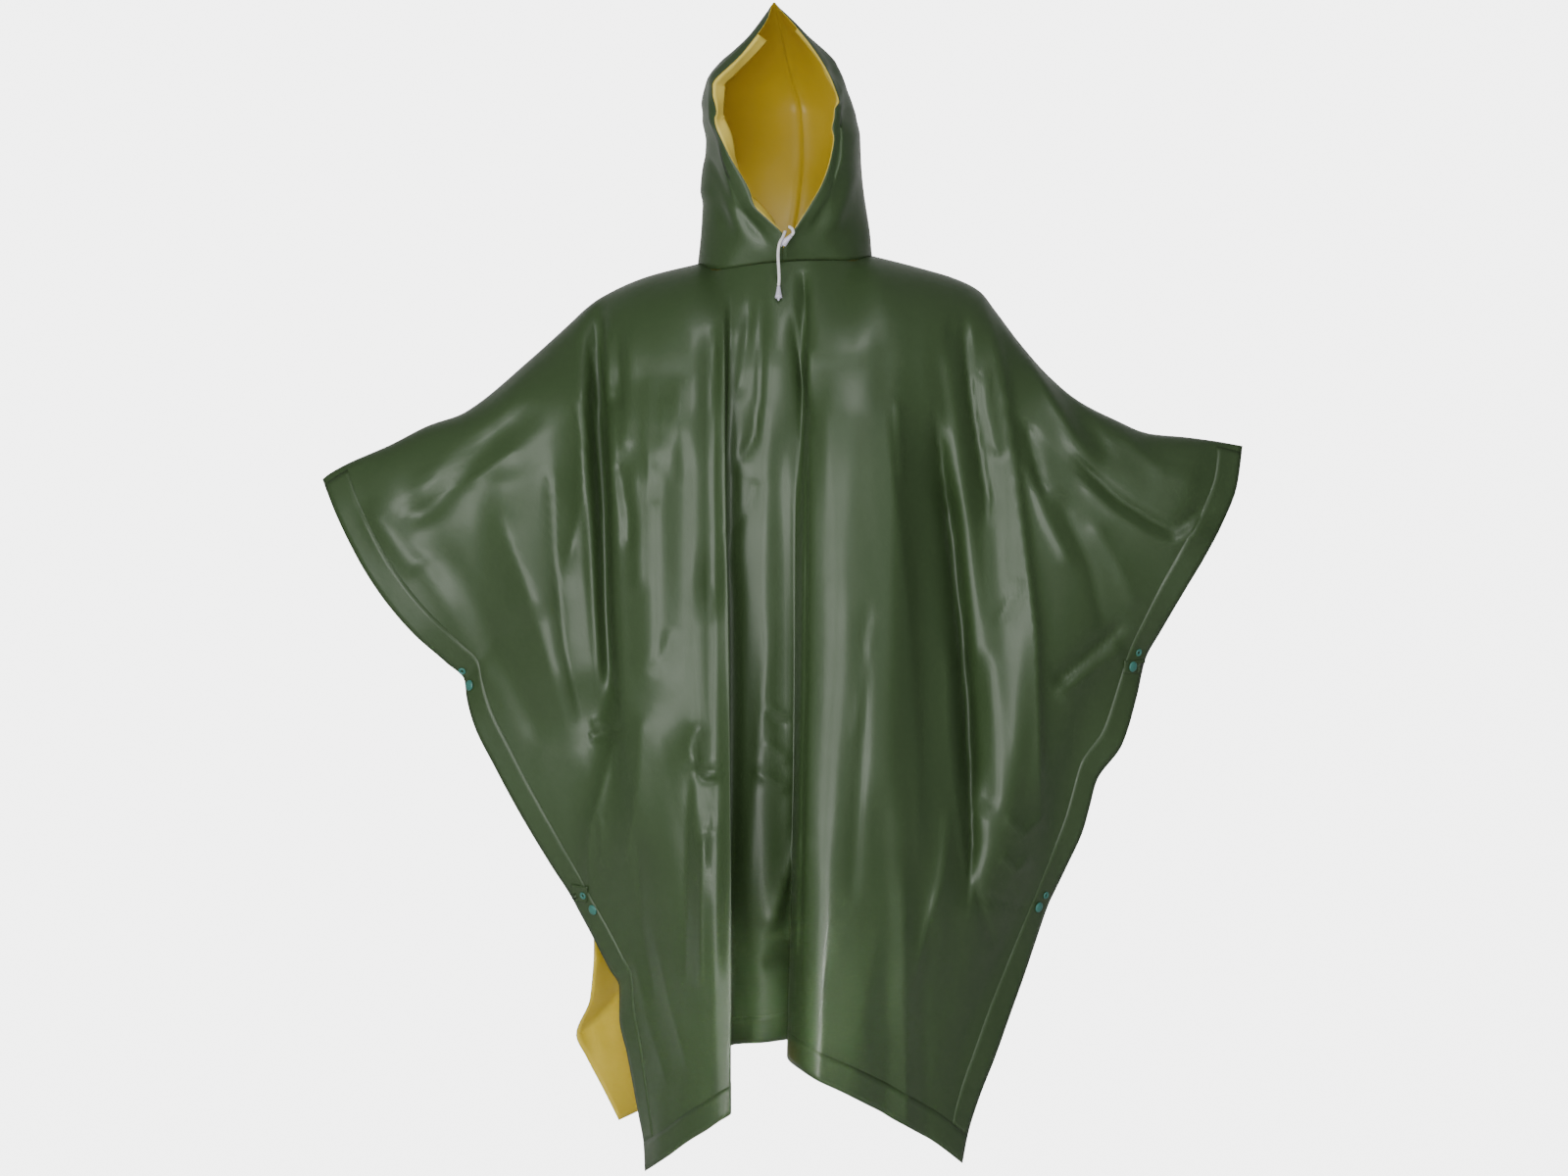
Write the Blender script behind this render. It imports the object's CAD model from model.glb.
# A hooded rain poncho of thin film, green outside and yellow inside, standing open as it is worn.
import math
import random

import bmesh
import bpy
import numpy as np
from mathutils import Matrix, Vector
from mathutils.bvhtree import BVHTree


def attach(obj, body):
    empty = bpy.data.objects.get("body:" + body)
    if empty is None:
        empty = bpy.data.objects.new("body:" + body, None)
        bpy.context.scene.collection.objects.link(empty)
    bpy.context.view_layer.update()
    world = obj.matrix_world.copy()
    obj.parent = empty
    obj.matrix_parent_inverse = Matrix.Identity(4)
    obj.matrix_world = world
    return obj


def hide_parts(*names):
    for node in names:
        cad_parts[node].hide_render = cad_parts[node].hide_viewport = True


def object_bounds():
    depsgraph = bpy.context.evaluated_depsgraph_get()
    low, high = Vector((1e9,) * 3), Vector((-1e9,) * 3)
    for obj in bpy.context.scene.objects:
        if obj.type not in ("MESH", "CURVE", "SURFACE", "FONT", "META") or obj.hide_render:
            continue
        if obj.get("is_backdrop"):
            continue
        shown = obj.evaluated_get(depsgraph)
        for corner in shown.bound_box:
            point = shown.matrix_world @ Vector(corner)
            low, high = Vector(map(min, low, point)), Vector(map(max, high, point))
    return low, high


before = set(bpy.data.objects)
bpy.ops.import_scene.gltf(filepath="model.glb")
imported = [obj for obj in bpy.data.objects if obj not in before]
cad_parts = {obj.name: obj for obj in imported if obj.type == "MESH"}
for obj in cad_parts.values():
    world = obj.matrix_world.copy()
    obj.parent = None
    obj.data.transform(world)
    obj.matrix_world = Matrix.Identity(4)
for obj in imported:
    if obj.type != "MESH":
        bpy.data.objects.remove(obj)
CAD_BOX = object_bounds()
MM = 0.001

# Measures. The front is measured in units of 1.24 mm on a front view seen from 3.6 m away:
# u runs right, v runs down, y is the depth in mm behind the shoulder line. Lengths are in mm
# until a mesh is made.
UNIT = 1.24
EYE_DISTANCE = 3600.0
EYE_HEIGHT = -412.0
U_MIDDLE = 803.0
V_EYE = 600.0
VIEW_WIDTH = 1600.0
BAND_WIDTH = 35.0
TUNNEL_WIDTH = 22.0
FIRST_SECTION = 0.14

NECK_X = -2.5
NECK_HALF_WIDTH = 110.5
NECK_FRONT = 88.0
NECK_BACK = 80.0
CORD_DIAMETER = 3.8


def seen(u, v, y):
    """A point of the front view at depth y, in mm."""
    grow = UNIT * (EYE_DISTANCE + y) / EYE_DISTANCE
    return np.array([(u - U_MIDDLE) * grow, y, EYE_HEIGHT + (V_EYE - v) * grow])


def front_view(points):
    """The u and v at which points in mm are seen."""
    grow = UNIT * (EYE_DISTANCE + points[..., 1]) / EYE_DISTANCE
    return U_MIDDLE + points[..., 0] / grow, V_EYE - (points[..., 2] - EYE_HEIGHT) / grow


def lengths_along(line):
    """The length from the start of a line to each of its points."""
    return np.concatenate([[0], np.cumsum(np.linalg.norm(np.diff(line, axis=0), axis=1))])


def between(start, end, leave, arrive, h, f):
    """A cubic from start to end over a span h, with its slope at either end; f is the share."""
    f2 = f * f
    f3 = f2 * f
    return (
        start * (2 * f3 - 3 * f2 + 1)
        + end * (3 * f2 - 2 * f3)
        + leave * h * (f3 - 2 * f2 + f)
        + arrive * h * (f3 - f2)
    )


def smooth(at, values):
    """A smooth curve through points that never swings past them. values may hold vectors."""
    at = np.asarray(at, float)
    values = np.asarray(values, float)
    flat = values.reshape(len(at), -1)
    step = np.diff(at)[:, None]
    slope = np.diff(flat, axis=0) / step
    tangent = np.empty_like(flat)
    tangent[0] = slope[0]
    tangent[-1] = slope[-1]
    before, after = slope[:-1], slope[1:]
    a = 2 * step[1:] + step[:-1]
    b = step[1:] + 2 * step[:-1]
    same = before * after > 0
    safe_before = np.where(same, before, 1.0)
    safe_after = np.where(same, after, 1.0)
    tangent[1:-1] = np.where(same, (a + b) / (a / safe_before + b / safe_after), 0.0)

    def curve(x):
        x = np.atleast_1d(np.asarray(x, float))
        i = np.clip(np.searchsorted(at, x) - 1, 0, len(at) - 2)
        h = step[i]
        f = np.clip((x - at[i])[:, None] / h, 0, 1)
        out = between(flat[i], flat[i + 1], tangent[i], tangent[i + 1], h, f)
        return out.reshape((len(x),) + values.shape[1:])

    return curve


# The camera stands 3.6 m off, level with the middle of the poncho, and looks straight at it.
camera_data = bpy.data.cameras.new("camera")
camera_data.sensor_width = 36.0
camera_data.lens = 36.0 * EYE_DISTANCE / (VIEW_WIDTH * UNIT)
camera_data.shift_x = (VIEW_WIDTH / 2 - U_MIDDLE) / VIEW_WIDTH
camera = bpy.data.objects.new("camera", camera_data)
camera.location = (0, -EYE_DISTANCE * MM, EYE_HEIGHT * MM)
camera.rotation_euler = (math.pi / 2, 0, 0)
bpy.context.scene.collection.objects.link(camera)
bpy.context.scene.camera = camera


# The film is calendered PVC, green on one face and yellow on the other, with a fine leathery
# grain from the rollers. It is semi-gloss, so the creases catch soft, broad highlights.

def colour(hex_code):
    parts = [int(hex_code[k : k + 2], 16) / 255 for k in (1, 3, 5)]
    line = [c / 12.92 if c <= 0.04045 else ((c + 0.055) / 1.055) ** 2.4 for c in parts]
    return (*line, 1.0)


def node(tree, kind, inputs=(), **settings):
    made = tree.nodes.new(kind)
    for key, value in settings.items():
        setattr(made, key, value)
    for name, value in dict(inputs).items():
        socket = made.inputs[name]
        if isinstance(value, bpy.types.NodeSocket):
            tree.links.new(value, socket)
        else:
            socket.default_value = value
    return made


def new_material(name):
    material = bpy.data.materials.new(name)
    material.use_nodes = True
    material.node_tree.nodes.clear()
    return material, material.node_tree


def finish_material(tree, shader):
    node(tree, "ShaderNodeOutputMaterial", {"Surface": shader})


# Noise cells to the metre, from real sizes: clouds in the colour 200 mm across, smears in the
# gloss 45 mm, shallow dents 26 mm, and the rollers' grain about 1 mm.
CLOUDS = 5.0
SMEARS = 22.0
DENTS = 38.0
GRAIN = 900.0


def film_material(name, light, dark, roughness):
    """Semi-gloss film: cloudy colour, a fine leathery grain and small shallow dents."""
    material, tree = new_material(name)
    place = node(tree, "ShaderNodeTexCoord").outputs["Object"]
    clouds = node(tree, "ShaderNodeTexNoise", {"Vector": place, "Scale": CLOUDS, "Detail": 4.0})
    tint = node(
        tree,
        "ShaderNodeMix",
        {"Factor": clouds.outputs["Fac"], 6: colour(dark), 7: colour(light)},
        data_type="RGBA",
    )
    smears = node(tree, "ShaderNodeTexNoise", {"Vector": place, "Scale": SMEARS, "Detail": 5.0})
    rough = node(
        tree,
        "ShaderNodeMapRange",
        {"Value": smears.outputs["Fac"], 3: roughness - 0.05, 4: roughness + 0.07},
    )
    fine = node(tree, "ShaderNodeTexNoise", {"Vector": place, "Scale": GRAIN, "Detail": 2.0})
    dents = node(tree, "ShaderNodeTexNoise", {"Vector": place, "Scale": DENTS, "Detail": 3.0})
    fine_bump = node(
        tree,
        "ShaderNodeBump",
        {"Height": fine.outputs["Fac"], "Strength": 0.1, "Distance": 0.4 * MM},
    )
    bump = node(
        tree,
        "ShaderNodeBump",
        {
            "Height": dents.outputs["Fac"],
            "Strength": 0.22,
            "Distance": 2.2 * MM,
            "Normal": fine_bump.outputs["Normal"],
        },
    )
    shader = node(
        tree,
        "ShaderNodeBsdfPrincipled",
        {
            "Base Color": tint.outputs[2],
            "Roughness": rough.outputs[0],
            "IOR": 1.5,
            "Specular IOR Level": 0.5,
            "Coat Weight": 0.1,
            "Coat Roughness": 0.2,
            "Coat IOR": 1.5,
            "Normal": bump.outputs["Normal"],
        },
    )
    finish_material(tree, shader.outputs["BSDF"])
    return material


GREEN = film_material("film_green", "#3C5130", "#334627", 0.44)
YELLOW = film_material("film_yellow", "#DEC641", "#CDB12E", 0.42)
DOUBLE_YELLOW = film_material("film_yellow_double", "#F3DE6C", "#EBD45C", 0.42)


def plain_material(name, base, roughness):
    """One colour with faint moulding or braiding marks, about 3 mm across."""
    material, tree = new_material(name)
    place = node(tree, "ShaderNodeTexCoord").outputs["Object"]
    spots = node(tree, "ShaderNodeTexNoise", {"Vector": place, "Scale": 300.0, "Detail": 3.0})
    rough = node(
        tree,
        "ShaderNodeMapRange",
        {"Value": spots.outputs["Fac"], 3: roughness - 0.06, 4: roughness + 0.06},
    )
    bump = node(
        tree,
        "ShaderNodeBump",
        {"Height": spots.outputs["Fac"], "Strength": 0.15, "Distance": 0.0002},
    )
    shader = node(
        tree,
        "ShaderNodeBsdfPrincipled",
        {
            "Base Color": colour(base),
            "Roughness": rough.outputs[0],
            "Normal": bump.outputs["Normal"],
        },
    )
    finish_material(tree, shader.outputs["BSDF"])
    return material


SNAP = plain_material("snap_teal", "#3F7A70", 0.34)
CORD = plain_material("cord_white", "#F0EEF0", 0.75)
TIP = plain_material("tip_white", "#DCD8EC", 0.3)


def make_mesh(name, points, faces, materials):
    """A mesh object from points in mm."""
    mesh = bpy.data.meshes.new(name)
    mesh.from_pydata([tuple(p) for p in np.asarray(points) * MM], [], faces)
    for material in materials:
        mesh.materials.append(material)
    mesh.polygons.foreach_set("use_smooth", [True] * len(mesh.polygons))
    mesh.update()
    made = bpy.data.objects.new(name, mesh)
    bpy.context.scene.collection.objects.link(made)
    return made


def fit(piece, solid):
    """Put a piece on the poncho's one body, for the solid it replaces."""
    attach(piece, "root")
    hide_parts(solid)


# The drawstring is a round white braid with a moulded tip on each end. It runs in the hood's
# tunnel: one end hangs from the chin, the other is drawn up to its tip.

def route(name, points, count):
    """A cord along a smooth route through points given as u, v and depth."""
    spots = np.array([seen(*p) for p in points])
    # The same even curve through the points that the solid follows.
    spots = np.vstack([2 * spots[0] - spots[1], spots, 2 * spots[-1] - spots[-2]])
    line = []
    for k in range(1, len(spots) - 2):
        for f in np.linspace(0, 1, count, endpoint=k == len(spots) - 3):
            a, b, c, d = spots[k - 1 : k + 3]
            line.append(
                0.5
                * (
                    2 * b
                    + (c - a) * f
                    + (2 * a - 5 * b + 4 * c - d) * f * f
                    + (3 * b - a - 3 * c + d) * f**3
                )
            )
    line = np.array(line)
    curve = bpy.data.curves.new(name, "CURVE")
    curve.dimensions = "3D"
    spline = curve.splines.new("POLY")
    spline.points.add(len(line) - 1)
    for point, place in zip(spline.points, line * MM):
        point.co = (*place, 1.0)
    curve.bevel_depth = CORD_DIAMETER / 2 * MM
    curve.bevel_resolution = 5
    curve.use_fill_caps = True
    curve.materials.append(CORD)
    made = bpy.data.objects.new(name, curve)
    bpy.context.scene.collection.objects.link(made)
    length = np.linalg.norm(np.diff(line, axis=0), axis=1).sum() * MM
    return made, line, length


HANGING_ROUTE = [
    (801, 236.5, -106),
    (799, 241.5, -114),
    (796, 247, -121),
    (794.3, 254, -121),
    (794, 262, -116),
    (794.6, 274, -112.5),
    (795, 284, -111.5),
    (794.6, 291.8, -113.6),
]
SHORT_ROUTE = [
    (805.5, 231.5, -112),
    (808.6, 234, -118.5),
    (809.4, 237.8, -120.4),
    (807.6, 239.9, -119),
]
drawstring, hang_line, hang_length = route("drawstring_cord", HANGING_ROUTE, 6)
short_cord = route("drawstring_short_cord", SHORT_ROUTE, 6)[0]
fit(drawstring, "drawstring")
fit(short_cord, "drawstring_short_end")


def lathe(name, profile, foot, axis, material, sides=28):
    """A turned piece: profile is radius and height in mm, standing on foot along axis."""
    axis = Vector(axis).normalized()
    side = axis.orthogonal().normalized()
    other = axis.cross(side)
    points = []
    faces = []
    for radius, height in profile:
        for k in range(sides):
            turn = 2 * math.pi * k / sides
            spoke = side * math.cos(turn) + other * math.sin(turn)
            points.append(Vector(foot) + axis * height + spoke * max(radius, 0.01))
    for i in range(len(profile) - 1):
        for k in range(sides):
            n = (k + 1) % sides
            faces.append((i * sides + k, i * sides + n, (i + 1) * sides + n, (i + 1) * sides + k))
    made = make_mesh(name, points, faces, [material])
    work = bmesh.new()
    work.from_mesh(made.data)
    bmesh.ops.remove_doubles(work, verts=work.verts, dist=0.03 * MM)
    bmesh.ops.recalc_face_normals(work, faces=work.faces)
    work.to_mesh(made.data)
    work.free()
    return made


TIP_PROFILE = [
    (0, 0),
    (1.9, 0),
    (2.3, 0.4),
    (2.45, 1.6),
    (2.3, 2.4),
    (2.7, 4),
    (3.1, 7),
    (3.6, 10),
    (4.2, 12.6),
    (4.5, 14),
    (4.45, 14.8),
    (4.1, 15.2),
    (1.7, 15.6),
    (1.4, 16.2),
    (1.4, 18.2),
    (1.0, 18.8),
    (0, 18.9),
]
TIPS = [
    ("drawstring_tip_hanging", "drawstring_tip", (794.55, 292.6, -113.9), (794.4, 309, -122)),
    ("drawstring_tip_short", "drawstring_short_tip", (807.2, 240.4, -118.6), (796.5, 251.5, -110.5)),
]
for name, solid, top, end in TIPS:
    foot = seen(*top)
    fit(lathe(name, TIP_PROFILE, foot, seen(*end) - foot, TIP), solid)


# The body is one sheet of film folded over the shoulders, drawn here as a front and a back.
# Its outlines and sections are those of the solids: u, v and depth, each row a point.
CLOSED = 1.9
NECK_TURN = [-180, -135, -90, -50, 0, 50, 90, 135, 180]
NECK_Z = [16, 10, -2.8, -16, -9, -4, 7, 13, 16]
LEFT_EDGE = [
  (329, 489, 0.15),
  (333, 500, 7),
  (345, 530, 20),
  (380, 595, 34),
  (420, 645, 28),
  (455, 676, 10),
  (474, 694, CLOSED),
  (476, 711, 5),
  (483, 738, 11),
  (505, 783, 14),
  (527, 824, 14),
  (561, 881, 9),
  (583, 915, 3),
  (591, 930, CLOSED),
]
LEFT_EDGE_FRONT = [
  (607, 960, 9),
  (622, 989, 18),
  (632, 1007, 26),
  (632, 1038, 40),
  (640, 1076, 58),
  (651, 1135, 82),
  (657, 1170, 94),
  (658, 1195, 100),
]
LEFT_EDGE_BACK = [
  (606, 960, 8),
  (602, 1019, 30),
  (588, 1056, 42),
  (598, 1078, 48),
  (616, 1112, 54),
  (631.5, 1143, 60),
]
RIGHT_EDGE = [
  (1268, 455, 0.15),
  (1262, 497, 16),
  (1248, 533, 28),
  (1228, 571, 34),
  (1210, 601, 30),
  (1184, 645, 12),
  (1169, 672, CLOSED),
  (1160, 711, 8),
  (1145, 760, 13),
  (1119, 797, 14),
  (1112, 823, 13),
  (1105, 848, 11),
  (1089, 883, 6),
  (1071, 920, CLOSED),
]
RIGHT_EDGE_FRONT = [
  (1057, 960, 8),
  (1047, 990, 15),
  (1031, 1035, 28),
  (1015, 1080, 40),
  (999, 1121, 50),
  (988, 1156, 56),
  (982, 1187, 60),
]
RIGHT_EDGE_BACK = [
  (1052, 958, 8),
  (1032, 1003, 24),
  (1006, 1060, 44),
  (986, 1106, 60),
  (972, 1134, 70),
]
LEFT_RIDGE = [
  (329, 489),
  (335, 484),
  (400, 453),
  (440, 433),
  (470, 423),
  (482, 416),
  (540, 368),
  (580, 332),
  (603, 311),
  (615, 303),
  (660, 283),
  (712, 270),
]
RIGHT_RIDGE = [
  (890, 262),
  (940, 274.5),
  (975, 285),
  (1000, 298),
  (1015, 317),
  (1040, 350),
  (1070, 384),
  (1100, 409),
  (1137, 428),
  (1173, 442.5),
  (1210, 446),
  (1240, 450),
  (1268, 455),
]
FRONT_SECTIONS = [
  (0.14, [
      [425, 540, -52], [478, 508, -66], [550, 455, -70], [612, 400, -92], [655, 385, -120],
      [705, 380, -140], [739, 378, -146], [744, 378, -128], [754, 378, -124], [786, 377, -138],
      [812, 376, -134], [818, 376, -128], [826, 376, -148], [862, 375, -154], [905, 374, -148],
      [940, 378, -132], [968, 385, -112], [1000, 398, -92], [1052, 440, -76], [1110, 488, -74],
      [1165, 518, -64], [1205, 535, -52],
    ]),
  (0.32, [
      [516, 640, -50], [548, 598, -72], [588, 565, -74], [622, 540, -122], [655, 530, -142],
      [700, 525, -158], [741, 523, -158], [738, 522, -122], [751, 522, -114], [783, 522, -130],
      [811, 521, -120], [814, 521, -126], [825, 521, -162], [862, 521, -176], [908, 522, -166],
      [940, 525, -138], [968, 530, -126], [1004, 545, -92], [1040, 580, -94], [1078, 612, -84],
      [1110, 640, -66], [1135, 660, -42],
    ]),
  (0.48, [
      [556, 770, -46], [582, 742, -62], [608, 712, -68], [629, 690, -122], [660, 672, -148],
      [700, 662, -168], [744, 655, -166], [737, 652, -118], [750, 650, -106], [782, 650, -120],
      [811, 650, -108], [813, 650, -122], [823, 650, -168], [862, 652, -188], [905, 655, -178],
      [945, 662, -140], [975, 672, -126], [1010, 692, -98], [1036, 715, -100], [1060, 738, -84],
      [1078, 758, -64], [1094, 776, -38],
    ]),
  (0.63, [
      [604, 884, -46], [622, 858, -82], [640, 838, -112], [656, 824, -134], [682, 810, -156],
      [712, 800, -176], [745, 792, -176], [736, 785, -114], [750, 780, -92], [782, 778, -106],
      [810, 777, -94], [811, 778, -116], [821, 780, -172], [858, 784, -198], [905, 790, -186],
      [945, 800, -152], [978, 812, -134], [1004, 828, -112], [1022, 845, -104], [1038, 862, -84],
      [1048, 878, -62], [1058, 893, -36],
    ]),
  (0.78, [
      [662, 990, -82], [675, 972, -108], [688, 958, -132], [700, 948, -152], [715, 940, -172],
      [730, 932, -186], [746, 926, -183], [734, 915, -104], [748, 905, -72], [781, 900, -86],
      [808, 899, -74], [808, 905, -108], [819, 915, -172], [850, 925, -204], [895, 935, -194],
      [930, 948, -164], [950, 960, -146], [963, 969, -126], [976, 978, -106], [988, 988, -88],
      [998, 997, -70], [1008, 1005, -52],
    ]),
  (0.9, [
      [672, 1095, -125], [684, 1080, -142], [695, 1068, -158], [706, 1058, -171], [718, 1049, -182],
      [731, 1041, -191], [746, 1033, -188], [732, 1015, -92], [748, 992, -54], [780, 986, -66],
      [808, 984, -56], [805, 996, -100], [817, 1008, -174], [842, 1022, -206], [876, 1036, -199],
      [900, 1047, -176], [916, 1059, -156], [931, 1069, -138], [944, 1077, -122], [956, 1084, -106],
      [966, 1090, -91], [976, 1096, -76],
    ]),
  (1, [
      [672, 1186, -142], [684, 1178, -162], [696, 1169, -177], [708, 1161, -187], [720, 1154, -194],
      [733, 1145, -197], [746, 1136, -190], [728, 1100, -80], [747, 1066.5, -42], [780, 1064, -52],
      [812, 1059.5, -44], [803, 1077, -94], [816, 1091, -176], [838, 1105, -207], [864, 1117, -200],
      [884, 1127, -184], [898, 1134, -166], [911, 1142, -150], [924, 1149, -135], [937, 1156, -120],
      [948, 1162, -106], [960, 1170, -91],
    ]),
]
FRONT_TOP = [
  (385, 460),
  (440, 433),
  (520, 385),
  (605, 311),
  (655, 285),
  -90,
  -46,
  -35,
  -24,
  -8,
  3,
  10,
  20,
  42,
  90,
  (940, 275),
  (985, 290),
  (1012, 312),
  (1050, 362),
  (1110, 417),
  (1173, 443),
  (1222, 449),
]
BACK_SECTIONS = [
  (0.14, [
      [425, 540, 50], [478, 508, 68], [548, 455, 80], [612, 400, 95], [655, 382, 118],
      [700, 375, 132], [745, 372, 138], [803, 370, 135], [862, 371, 140], [905, 373, 134],
      [950, 380, 118], [980, 390, 104], [1010, 405, 92], [1085, 470, 80], [1150, 510, 68],
      [1205, 535, 52],
    ]),
  (0.32, [
      [516, 640, 50], [548, 600, 76], [588, 568, 96], [625, 545, 122], [660, 530, 146],
      [700, 522, 160], [750, 520, 150], [803, 519, 140], [855, 520, 154], [905, 523, 162],
      [948, 532, 140], [975, 545, 124], [1005, 560, 112], [1055, 598, 96], [1105, 635, 70],
      [1135, 660, 42],
    ]),
  (0.48, [
      [556, 770, 46], [582, 742, 66], [608, 714, 88], [635, 692, 122], [668, 672, 156],
      [705, 658, 180], [755, 650, 150], [803, 648, 132], [850, 650, 160], [900, 656, 186],
      [945, 668, 158], [972, 682, 132], [1000, 700, 112], [1035, 728, 90], [1068, 755, 64],
      [1092, 778, 38],
    ]),
  (0.63, [
      [604, 886, 44], [622, 862, 70], [642, 840, 98], [664, 822, 134], [690, 805, 172],
      [720, 792, 198], [762, 782, 150], [803, 778, 120], [846, 782, 158], [890, 792, 206],
      [930, 806, 180], [958, 820, 146], [984, 836, 118], [1012, 856, 92], [1036, 878, 62],
      [1056, 895, 36],
    ]),
  (0.78, [
      [640, 965, 58], [657, 946, 84], [675, 930, 112], [693, 918, 146], [716, 906, 184],
      [742, 896, 206], [774, 889, 150], [803, 886, 112], [838, 890, 160], [876, 900, 216],
      [908, 912, 196], [932, 924, 164], [953, 937, 136], [972, 950, 108], [988, 964, 84],
      [1000, 975, 64],
    ]),
  (0.9, [
      [637, 1050, 66], [657, 1032, 92], [677, 1015, 120], [697, 1002, 152], [719, 992, 188],
      [745, 984, 208], [775, 978, 150], [803, 975, 108], [836, 978, 160], [868, 985, 220],
      [896, 996, 204], [914, 1006, 176], [930, 1016, 148], [946, 1028, 124], [960, 1040, 102],
      [972, 1050, 86],
    ]),
  (1, [
      [656, 1131, 88], [671, 1121, 111], [688, 1108, 136], [706, 1091, 162], [725, 1073, 192],
      [748, 1050, 210], [776, 1046, 150], [803, 1045, 106], [834, 1046, 160], [862, 1050, 222],
      [885, 1064, 208], [900, 1078, 182], [914, 1090, 156], [928, 1101, 133], [940, 1110, 113],
      [950, 1118, 97],
    ]),
]
BACK_TOP = [
  (385, 460),
  (440, 433),
  (520, 385),
  (605, 311),
  (655, 285),
  -90,
  -135,
  -180,
  135,
  90,
  (940, 275),
  (985, 290),
  (1012, 312),
  (1080, 394),
  (1150, 434),
  (1222, 449),
]
HOOD_LEVELS = [0, 0.1, 0.22, 0.38, 0.54, 0.68, 0.8, 0.91, 1]
HOOD_LEFT = [
  [[799.5, 243, -106], [752, 238, -84], [716, 232, -12], [737, 245, 60], [810, 243, 92]],
  [[770, 210, -112], [744, 203, -96], [718, 192, -16], [735, 205, 70], [815, 203, 108]],
  [[745, 160, -110], [730, 156, -98], [719.5, 150, -20], [734, 160, 78], [819, 160, 124]],
  [[730, 115, -106], [722, 112, -92], [715.6, 110, -28], [736, 118, 74], [817, 116, 126]],
  [[728, 84, -100], [723, 83, -82], [721, 84, -38], [742, 88, 56], [809, 84, 106]],
  [[750, 61.5, -100], [740, 62, -84], [736, 63, -48], [758, 62, 22], [802, 58, 66]],
  [[768, 41, -104], [764, 38, -92], [763, 38, -70], [775, 36, -20], [797, 31, 4]],
  [[787, 7, -112], [786.4, 6.5, -106], [786.4, 6, -101], [788, 4, -95], [790, 2.4, -89]],
]
HOOD_RIGHT = [
  [[799.5, 243, -106], [846, 238, -84], [887, 236, -10], [868, 245, 60], [810, 243, 92]],
  [[826, 210, -112], [852, 203, -96], [881, 195, -16], [866, 205, 70], [815, 203, 108]],
  [[848, 160, -110], [862, 156, -98], [876.5, 150, -20], [862, 160, 78], [819, 160, 124]],
  [[851, 118, -106], [863, 114, -94], [874, 115, -28], [856, 118, 74], [817, 116, 126]],
  [[854.5, 98, -102], [862, 94, -84], [866, 92, -38], [848, 90, 56], [809, 84, 106]],
  [[843, 70, -100], [849, 70, -84], [856, 67, -48], [838, 66, 22], [802, 58, 66]],
  [[817, 36, -104], [821, 34, -92], [822, 34, -70], [811, 33, -20], [797, 31, 4]],
  [[793, 7, -112], [793.6, 6.5, -106], [793.6, 6, -101], [792, 4, -95], [790, 2.4, -89]],
]

neck_height = smooth(NECK_TURN, NECK_Z)


def neck(turn):
    """The neck hole: turn 0 is the middle of the front, -90 the left side, 180 the back."""
    across, along = math.sin(math.radians(turn)), math.cos(math.radians(turn))
    reach = NECK_FRONT if along > 0 else NECK_BACK
    return np.array([NECK_X + NECK_HALF_WIDTH * across, -reach * along, neck_height(turn)[0]])


def edge_curve(points, side):
    """A side edge as a curve of its own length; side is -1 on the front and 1 on the back."""
    flat = np.array([(u, v) for u, v, _ in points])
    at = lengths_along(flat)
    return smooth(at / at[-1], [seen(u, v, side * y) for u, v, y in points])


def station_curve(top, sections, index):
    """One line from shoulder to hem: it rolls over the shoulder, then follows the sections."""
    on_neck = not isinstance(top, tuple)
    start = neck(top) if on_neck else seen(top[0], top[1], 0)
    spots = np.array([seen(*stations[index]) for _, stations in sections])
    at = [down for down, _ in sections]
    plan = smooth([0, *at], np.vstack([start, spots]))
    depth = smooth(at, spots[:, 1])
    gentle = on_neck and abs(abs(top) - 90) > 1

    def curve(t):
        t = np.atleast_1d(np.asarray(t, float))
        out = plan(t)
        h = np.minimum(1, t / FIRST_SECTION)
        ellipse = np.sqrt(np.maximum(0, 1 - (1 - h) ** 2))
        roll = np.sin(h * math.pi / 2) if gentle else ellipse
        out[:, 1] = start[1] + (depth(np.maximum(t, at[0])) - start[1]) * roll
        return out

    return curve


def ridge_heights(points):
    spots = np.array([seen(u, v, 0) for u, v in points])
    return spots[0, 0], spots[-1, 0], smooth(spots[:, 0], spots[:, 2])


RIDGES = [ridge_heights(LEFT_RIDGE), ridge_heights(RIGHT_RIDGE)]
BAND_STRIPS = 5
ROUND_TURN = 80
ROUND_END = FIRST_SECTION * (1 - math.cos(math.radians(ROUND_TURN)))
END_SHARE = 0.05


def across_row(posts, splits):
    """A smooth row through its posts; the outermost strips make up one band width."""
    at = lengths_along(posts)
    band = np.linspace(0, BAND_WIDTH, BAND_STRIPS + 1)
    spots = [band]
    for k, count in enumerate(splits):
        low = BAND_WIDTH if k == 0 else at[k]
        high = at[-1] - BAND_WIDTH if k == len(splits) - 1 else at[k + 1]
        spots.append(low + (high - low) * np.arange(1, count + 1) / count)
    spots.append(at[-1] - band[::-1][1:])
    return smooth(at, posts)(np.concatenate(spots))


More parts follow.
